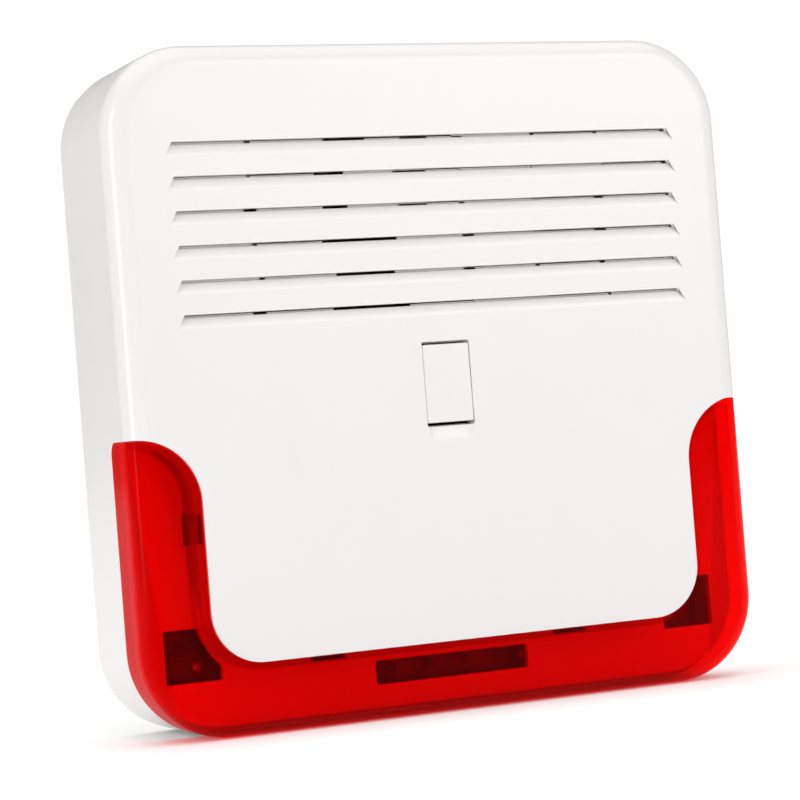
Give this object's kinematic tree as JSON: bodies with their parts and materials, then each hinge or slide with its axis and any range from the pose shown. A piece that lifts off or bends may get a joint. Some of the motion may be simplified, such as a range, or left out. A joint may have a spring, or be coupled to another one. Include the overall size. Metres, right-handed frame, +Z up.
{
  "type": "alarm siren",
  "caption": "Square white wall-mounted alarm siren with louvred front, screw flap and a red U-shaped strobe window, hinged cover over a base with horn, battery and boards.",
  "frame": {"origin": "middle of the wall plane, which is the back face of the base", "axes": "+Y into the wall, +Z up, +X to the right as seen from the front"},
  "size_m": [0.23, 0.0565, 0.23],
  "materials": {
    "cover_plastic": "white moulded ABS, satin gloss",
    "base_plastic": "white moulded ABS, fine texture",
    "strobe_plastic": "clear red polycarbonate, polished",
    "steel": "zinc plated",
    "brass": "plain",
    "rubber": "moulded",
    "black_plastic": "moulded",
    "circuit_board": "solder mask over glass fibre laminate",
    "terminal_plastic": "moulded",
    "battery_case": "moulded",
    "led_lens": "clear epoxy and white nylon",
    "lead_red": "PVC insulation",
    "lead_black": "PVC insulation",
    "capacitor_sleeve": "shrink sleeve"
  },
  "bodies": {
    "base": {"back_plate": "base_plastic", "battery": "battery_case", "battery_clamp": "steel", "battery_connector": "led_lens", "battery_lead_negative": "lead_black", "battery_lead_positive": "lead_red", "battery_tab_negative": "brass", "battery_tab_positive": "brass", "board_screw_1": "steel", "board_screw_2": "steel", "board_screw_3": "steel", "board_screw_4": "steel", "cable_grommet": "rubber", "capacitor_1": "capacitor_sleeve", "capacitor_2": "capacitor_sleeve", "clamp_screw_1": "steel", "clamp_screw_2": "steel", "control_board": "circuit_board", "cover_tamper_switch": "black_plastic", "driver_transformer": "black_plastic", "hinge_pin_left": "steel", "hinge_pin_right": "steel", "microcontroller": "black_plastic", "siren_diaphragm": "brass", "siren_driver": "black_plastic", "siren_horn": "black_plastic", "siren_lead": "lead_black", "siren_screw_1": "steel", "siren_screw_2": "steel", "siren_screw_3": "steel", "strobe_board_centre": "circuit_board", "strobe_board_left": "circuit_board", "strobe_board_right": "circuit_board", "strobe_connector_left": "led_lens", "strobe_connector_right": "led_lens", "strobe_lead_centre": "lead_red", "strobe_lead_left": "lead_red", "strobe_lead_right": "lead_red", "strobe_led_1": "led_lens", "strobe_led_2": "led_lens", "strobe_led_3": "led_lens", "strobe_led_4": "led_lens", "strobe_led_5": "led_lens", "strobe_led_6": "led_lens", "strobe_screw_1": "steel", "strobe_screw_2": "steel", "strobe_screw_3": "steel", "strobe_screw_4": "steel", "terminal_block": "terminal_plastic", "wall_tamper_spring": "steel", "wall_tamper_switch": "black_plastic"},
    "cover": {"front_cover": "cover_plastic", "strobe_lens": "strobe_plastic"},
    "flap": {"screw_flap": "cover_plastic"},
    "screw_carrier": {"retaining_ring": "rubber"},
    "screw": {"cover_screw": "steel"},
    "cover_plunger": {"cover_tamper_plunger": "lead_red"},
    "wall_plunger": {"wall_tamper_plunger": "cover_plastic"}
  },
  "joints": [
    {"name": "cover_swing", "type": "hinge", "parent": "base", "child": "cover", "pos_m": [0, -0.008, 0.1095], "axis": [-1, 0, 0], "range_deg": [0, 80]},
    {"name": "flap_swing", "type": "hinge", "parent": "cover", "child": "flap", "pos_m": [0, -0.0527, 0.0091], "axis": [-1, 0, 0], "range_deg": [0, 100]},
    {"name": "cover_screw_slide", "type": "slide", "parent": "cover", "child": "screw_carrier", "axis": [0, -1, 0], "range_m": [0, 0.0045]},
    {"name": "cover_screw_turn", "type": "hinge", "parent": "screw_carrier", "child": "screw", "pos_m": [0, -0.0439, -0.003], "axis": [0, -1, 0], "range_deg": [0, 2315]},
    {"name": "cover_tamper_release", "type": "slide", "parent": "base", "child": "cover_plunger", "axis": [0, -1, 0], "range_m": [0, 0.002]},
    {"name": "wall_tamper_press", "type": "slide", "parent": "base", "child": "wall_plunger", "axis": [0, -1, 0], "range_m": [0, 0.0025], "stiffness_N_per_m": 200, "springref_m": -0.004, "deforming": ["wall_tamper_spring"]}
  ],
  "couplings": [
    {"joint": "cover_screw_turn", "follows": "cover_screw_slide", "rad_per_m": 8976},
    {"joint": "cover_tamper_release", "follows": "cover_swing", "m_per_rad": 0.001432}
  ]
}
